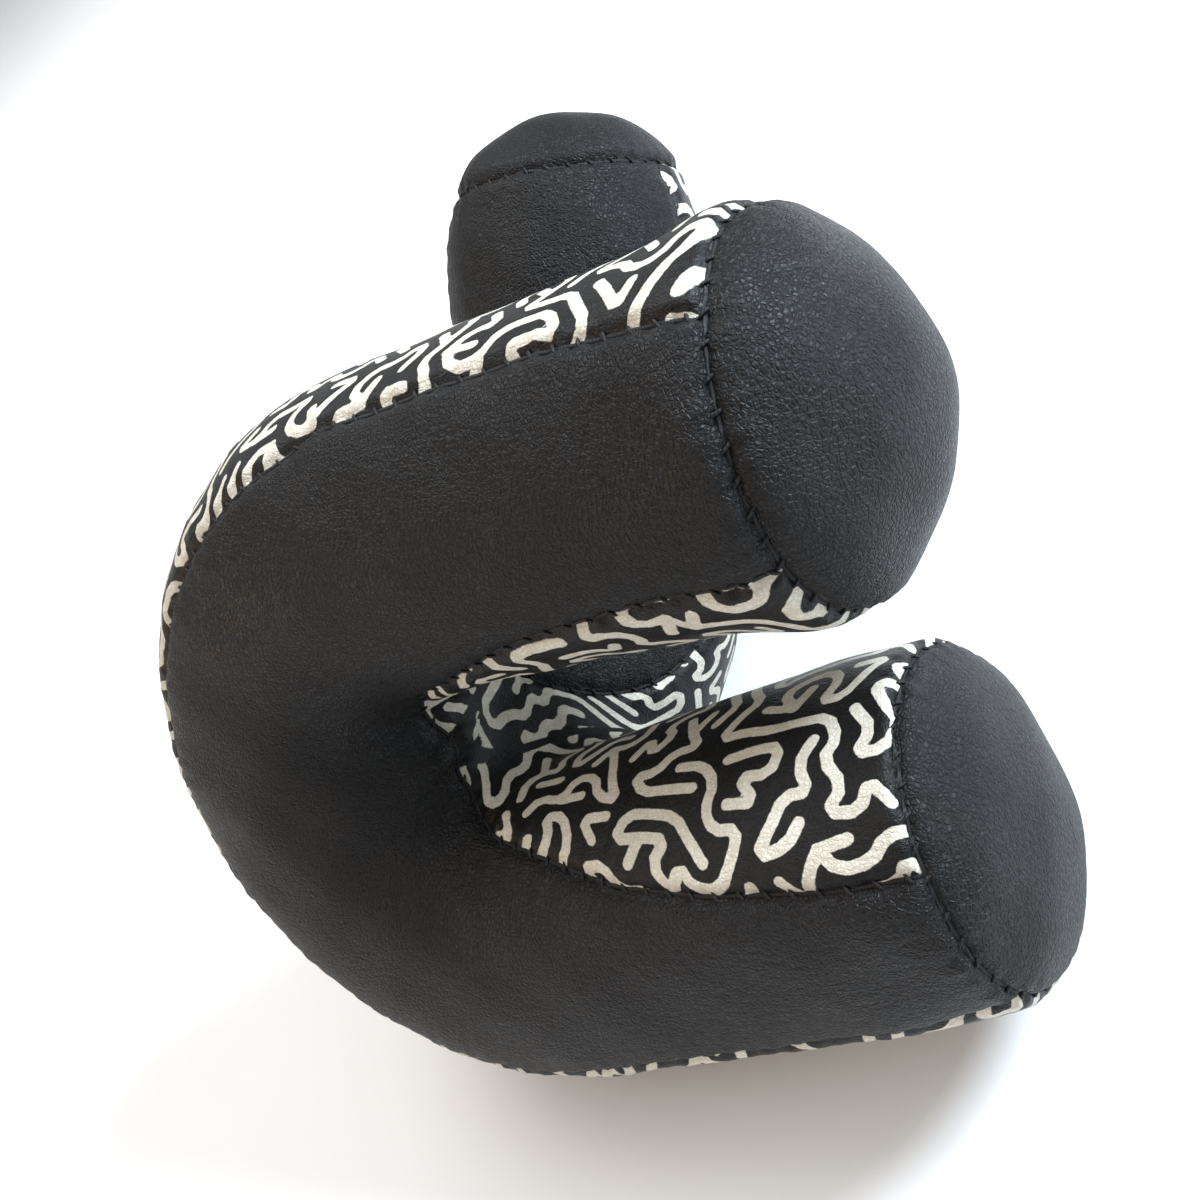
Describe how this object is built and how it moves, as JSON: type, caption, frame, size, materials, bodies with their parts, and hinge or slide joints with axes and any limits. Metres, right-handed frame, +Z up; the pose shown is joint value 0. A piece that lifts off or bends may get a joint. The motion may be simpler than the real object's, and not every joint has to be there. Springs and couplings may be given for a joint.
{
  "type": "juggling ball",
  "caption": "Stuffed leather juggling ball with three thick bent arms, black side panels and end caps, and cream maze print.",
  "frame": {"origin": "middle of the footprint, on the surface that the ball rests on", "axes": "+Z up from that surface, +X towards the open side between the two front arms, +Y towards the rear arm"},
  "size_m": [0.1164, 0.1296, 0.0893],
  "materials": {
    "plain_leather": "satin",
    "printed_leather": "satin",
    "sewing_thread": "matte",
    "filling": "matte"
  },
  "bodies": {
    "root": {"palm_panel": "printed_leather", "outer_panel": "printed_leather", "side_panel_ab": "plain_leather", "side_panel_ac": "plain_leather", "side_panel_bc": "plain_leather", "end_cap_a": "plain_leather", "end_cap_b": "plain_leather", "end_cap_c": "plain_leather", "seam_palm_ab": "sewing_thread", "seam_palm_ac": "sewing_thread", "seam_palm_bc": "sewing_thread", "seam_outer_ab": "sewing_thread", "seam_outer_ac": "sewing_thread", "seam_outer_bc": "sewing_thread", "cap_seam_a": "sewing_thread", "cap_seam_b": "sewing_thread", "cap_seam_c": "sewing_thread", "filling_core": "filling", "filling_arm_a": "filling", "filling_arm_b": "filling", "filling_arm_c": "filling"}
  },
  "joints": []
}
